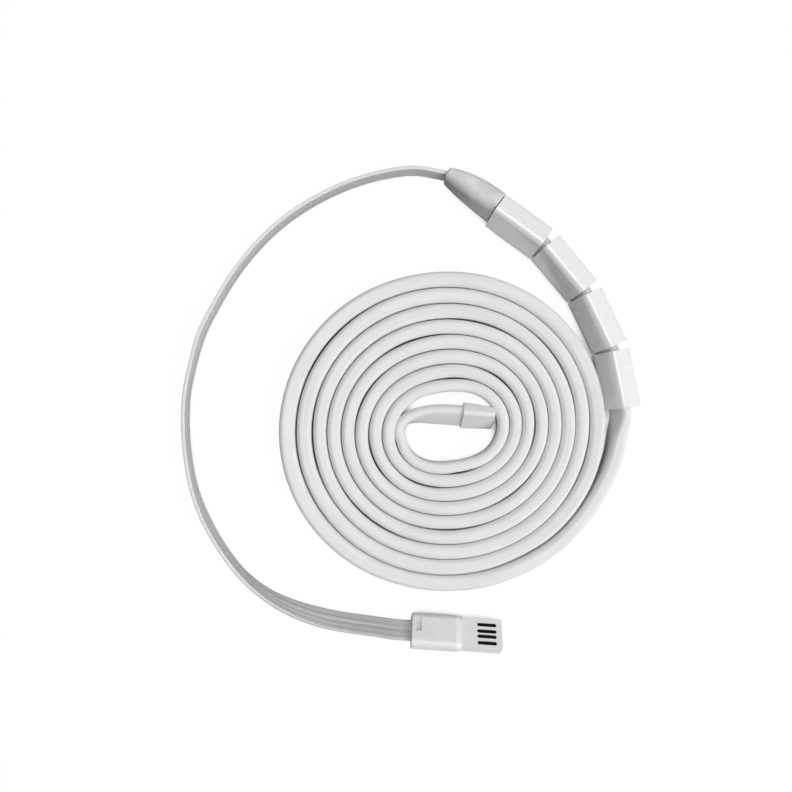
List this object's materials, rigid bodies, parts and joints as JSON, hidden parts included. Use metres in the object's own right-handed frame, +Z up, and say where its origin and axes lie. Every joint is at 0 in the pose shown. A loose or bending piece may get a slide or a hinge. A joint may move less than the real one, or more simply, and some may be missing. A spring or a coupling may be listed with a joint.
{
  "type": "charging cable",
  "caption": "Flat lead wound in a coil, with a USB-A plug on a ribbon tail, a boot, slide-on sleeves and a blind end cap.",
  "frame": {"origin": "middle of the outline as the cable lies put away, on the surface it lies on", "axes": "+Z up from the surface, +Y from the plug towards the boot, +X to the side of the sleeves"},
  "size_m": [0.1817, 0.1928, 0.0154],
  "materials": {
    "plug_shell": "satin moulded",
    "plug_tongue": "satin moulded",
    "contact": "dark nickel plated",
    "copper_core": "bare copper",
    "ferrule": "tinned",
    "ribbon_jacket": "smooth extruded",
    "lead_jacket": "smooth extruded",
    "boot_rubber": "matt moulded",
    "sleeve_plastic": "glossy moulded",
    "cap_plastic": "satin moulded"
  },
  "bodies": {
    "cable": {"plug_body": "plug_shell", "plug_tongue": "plug_tongue", "contact_power": "contact", "contact_data_minus": "contact", "contact_data_plus": "contact", "contact_ground": "contact", "plug_cores": "copper_core", "ribbon_lead": "ribbon_jacket", "boot": "boot_rubber", "boot_cores": "copper_core", "splice_ferrules": "ferrule", "lead_wires": "copper_core", "lead_sleeved": "lead_jacket", "lead_run": "lead_jacket", "lead_coil": "lead_jacket", "lead_tail": "lead_jacket", "end_cap": "cap_plastic"},
    "sleeve_1": {"sleeve_1": "sleeve_plastic"},
    "sleeve_2": {"sleeve_2": "sleeve_plastic"},
    "sleeve_3": {"sleeve_3": "sleeve_plastic"},
    "sleeve_4": {"sleeve_4": "sleeve_plastic"}
  },
  "joints": [
    {"name": "sleeve_1_slide", "type": "hinge", "parent": "cable", "child": "sleeve_1", "pos_m": [-0.0145, -0.0065, 0], "axis": [0, 0, -1], "range_deg": [0, 1.5]},
    {"name": "sleeve_2_slide", "type": "hinge", "parent": "sleeve_1", "child": "sleeve_2", "pos_m": [-0.0145, -0.0065, 0], "axis": [0, 0, -1], "range_deg": [-0.3, 1.5]},
    {"name": "sleeve_3_slide", "type": "hinge", "parent": "sleeve_2", "child": "sleeve_3", "pos_m": [-0.0145, -0.0065, 0], "axis": [0, 0, -1], "range_deg": [-0.3, 1.5]},
    {"name": "sleeve_4_slide", "type": "hinge", "parent": "sleeve_3", "child": "sleeve_4", "pos_m": [-0.0145, -0.0065, 0], "axis": [0, 0, -1], "range_deg": [-0.3, 1.5]}
  ]
}
